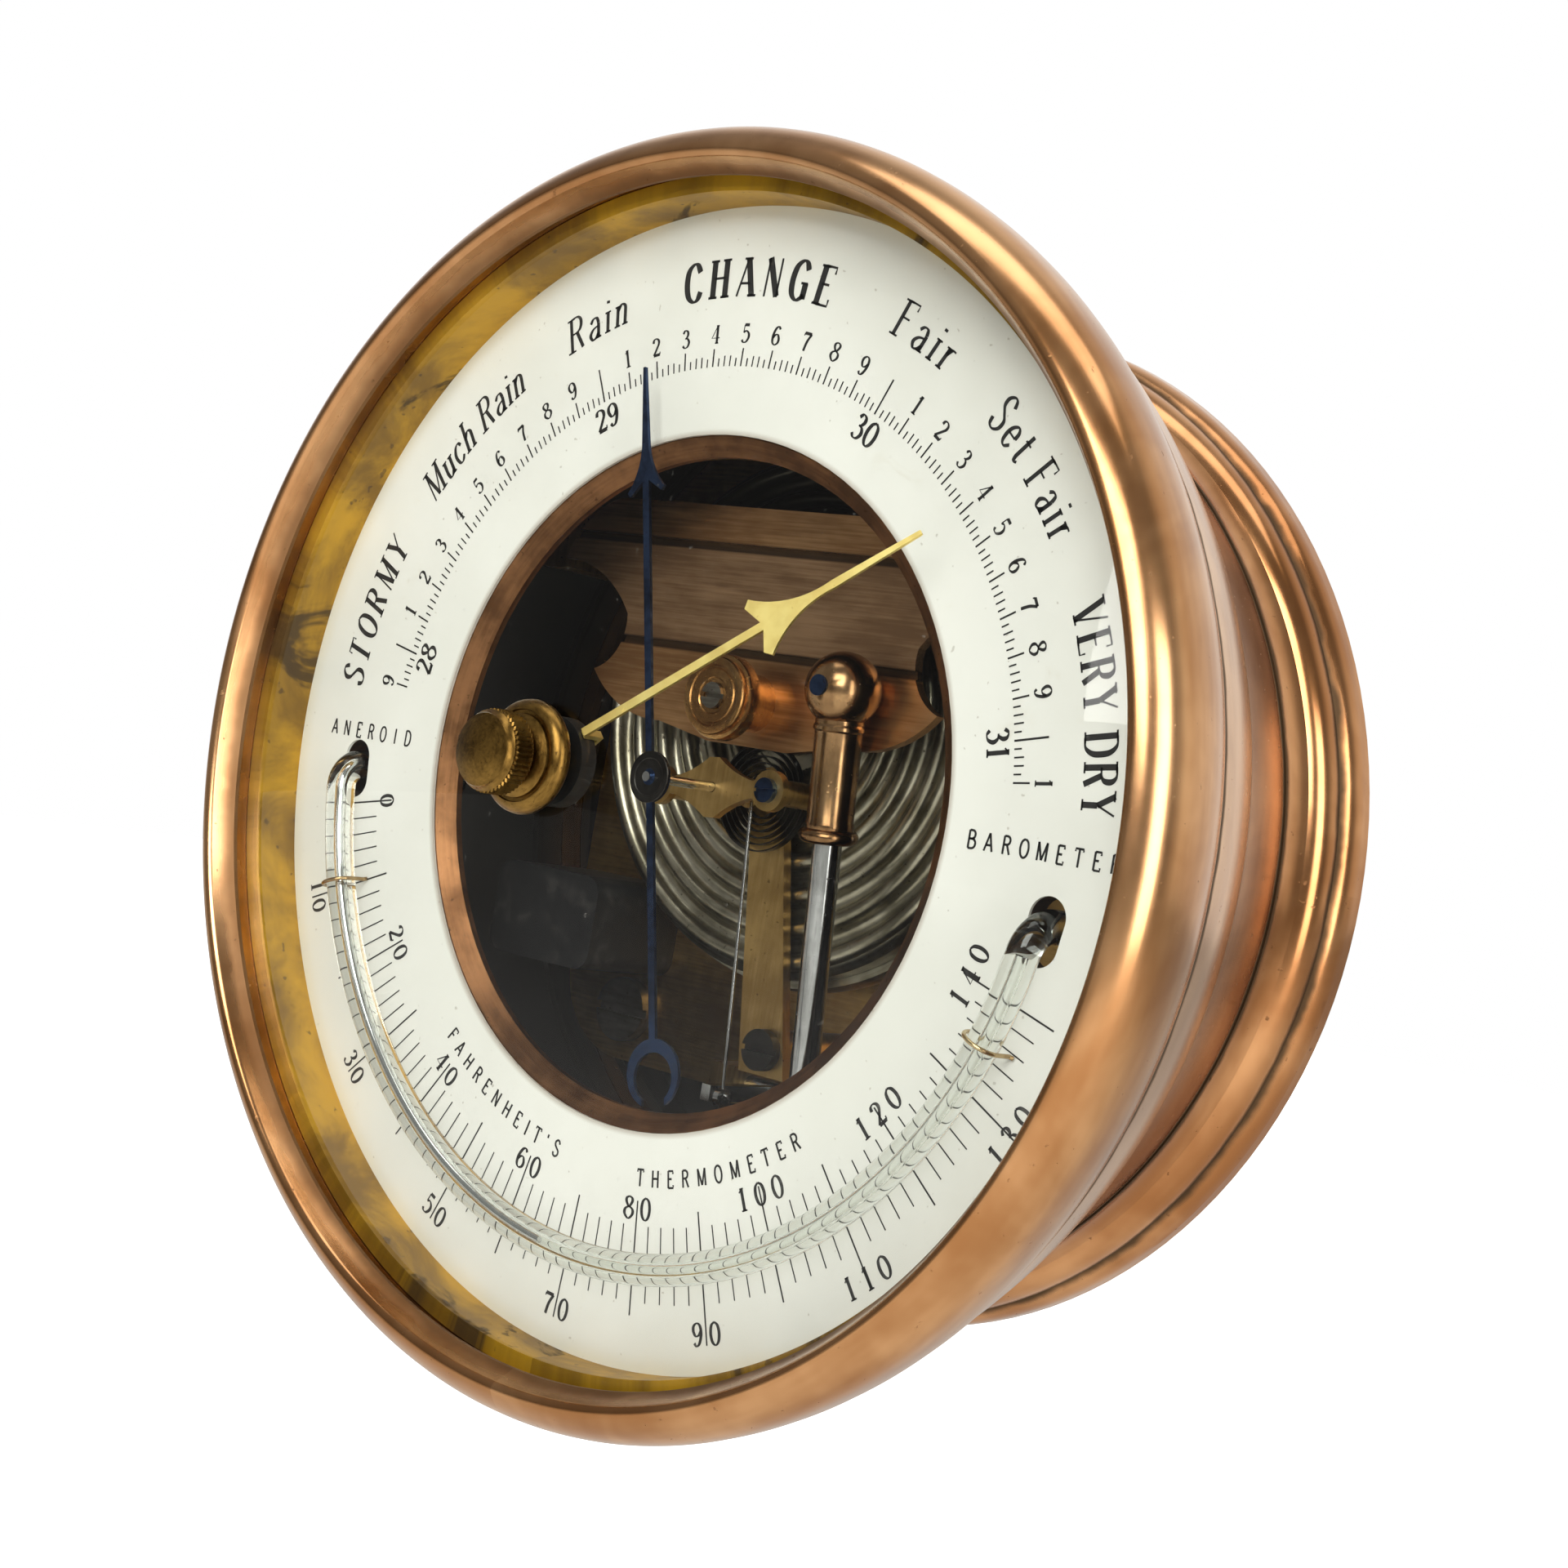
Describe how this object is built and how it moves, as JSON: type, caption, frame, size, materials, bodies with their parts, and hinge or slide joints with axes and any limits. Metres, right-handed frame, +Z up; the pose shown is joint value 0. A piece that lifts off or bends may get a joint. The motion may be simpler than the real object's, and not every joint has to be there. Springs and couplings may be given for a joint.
{
  "type": "ship barometer",
  "caption": "Round brass ship's aneroid barometer with an open dial, a curved thermometer, a blued hand, a gilt set hand turned by a knob in domed glass, and a flat back.",
  "frame": {"origin": "centre of the back cover's flat face, where it lies against the wall", "axes": "+Z up the dial, -Y out of the dial towards the reader, +Y into the wall, +X to the reader's right"},
  "size_m": [0.154, 0.081, 0.154],
  "materials": {
    "back_cover": "polished, aged",
    "bezel": "polished",
    "black_block": "japanned",
    "black_nut": "blackened",
    "blued_steel": "heat blued",
    "bush": "turned, aged",
    "capsule": "nickel silver, corrugated",
    "case_drum": "polished, aged",
    "case_moulding": "polished",
    "clips": "wire",
    "dial_card": "printed card, slightly stained",
    "dial_plate": "turned edge",
    "foot_ring": "polished, aged",
    "gilt": "gilt",
    "glass": "clear",
    "knob": "knurled, aged",
    "lever_plate": "bronze, brushed",
    "liner_ring": "lacquered, stained",
    "mercury": "liquid metal",
    "movement_brass": "turned, aged",
    "movement_plate": "brushed",
    "movement_steel": "polished",
    "pillars": "turned",
    "screws": "slotted, worn",
    "spindle": "turned",
    "spring_steel": "oiled",
    "thermometer": "clear tube"
  },
  "bodies": {
    "case": {"back_cover": "back_cover", "cover_screws": "screws", "foot_ring": "foot_ring", "case_drum": "case_drum", "case_moulding": "case_moulding", "bezel": "bezel", "liner_ring": "liner_ring", "glass": "glass", "glass_bush": "bush", "glass_nut": "black_nut", "dial_plate": "dial_plate", "dial_card": "dial_card", "thermometer_tube": "thermometer", "mercury": "mercury", "thermometer_clips": "clips", "movement_plate": "movement_plate", "base_pillars": "pillars", "base_screws": "screws", "movement_block": "black_block", "capsule_foot": "movement_brass", "capsule_back": "capsule", "capsule_front": "capsule", "capsule_band": "capsule", "capsule_spring": "spring_steel", "trunnions": "movement_brass", "pivot_screws": "screws", "rocker_posts": "movement_brass", "arbor_bridge": "movement_brass", "bridge_post": "movement_brass", "bridge_screw": "screws", "cock_pillars": "movement_brass", "cock_screws": "blued_steel", "arbor_cock": "movement_brass", "hairspring": "blued_steel"},
    "lever": {"lever_plate": "lever_plate", "lever_axle": "movement_steel", "capsule_post": "movement_steel", "lever_boss": "movement_brass", "boss_screw": "movement_steel", "ball_head": "movement_brass", "ball_stud": "blued_steel", "lever_rod": "movement_steel"},
    "hand": {"indicating_hand": "blued_steel", "hand_arbor": "movement_steel", "chain_drum": "movement_brass", "hairspring_collet": "movement_brass"},
    "rocker": {"rocker": "movement_steel"},
    "wire": {"hand_wire": "movement_steel"},
    "link": {"drive_link": "movement_steel"},
    "set_hand": {"set_hand": "gilt", "set_spindle": "spindle", "set_knob": "knob"},
    "adjuster": {"adjuster": "screws"}
  },
  "joints": [
    {"name": "lever_tilt", "type": "hinge", "parent": "case", "child": "lever", "pos_m": [0, -0.0326, 0.03], "axis": [1, 0, 0], "range_deg": [-1.16, 1.63], "stiffness_Nm_per_rad": 5},
    {"name": "hand_turn", "type": "hinge", "parent": "case", "child": "hand", "pos_m": [0, -0.05, 0], "axis": [0, 1, 0], "range_deg": [-69.91, 98.29]},
    {"name": "rocker_turn", "type": "hinge", "parent": "case", "child": "rocker", "pos_m": [0.01, -0.0225, -0.037], "axis": [1, 0, 0], "range_deg": [-7.56, 10.63]},
    {"name": "wire_pull", "type": "slide", "parent": "case", "child": "wire", "axis": [0.0924, 0, -0.9957], "range_m": [-0.00178, 0.0025]},
    {"name": "link_push", "type": "slide", "parent": "case", "child": "link", "axis": [0, 1, 0], "range_m": [-0.00162, 0.00228]},
    {"name": "set_hand_turn", "type": "hinge", "parent": "case", "child": "set_hand", "pos_m": [0, -0.075, 0], "axis": [0, 1, 0], "continuous": true},
    {"name": "adjuster_turn", "type": "hinge", "parent": "case", "child": "adjuster", "pos_m": [0, -0.012, -0.019], "axis": [0, 1, 0], "range_deg": [-360, 360]}
  ],
  "couplings": [
    {"joint": "hand_turn", "follows": "lever_tilt", "ratio": 60.025},
    {"joint": "rocker_turn", "follows": "lever_tilt", "ratio": 6.4472},
    {"joint": "wire_pull", "follows": "lever_tilt", "m_per_rad": 0.087037},
    {"joint": "link_push", "follows": "lever_tilt", "m_per_rad": 0.0793}
  ]
}
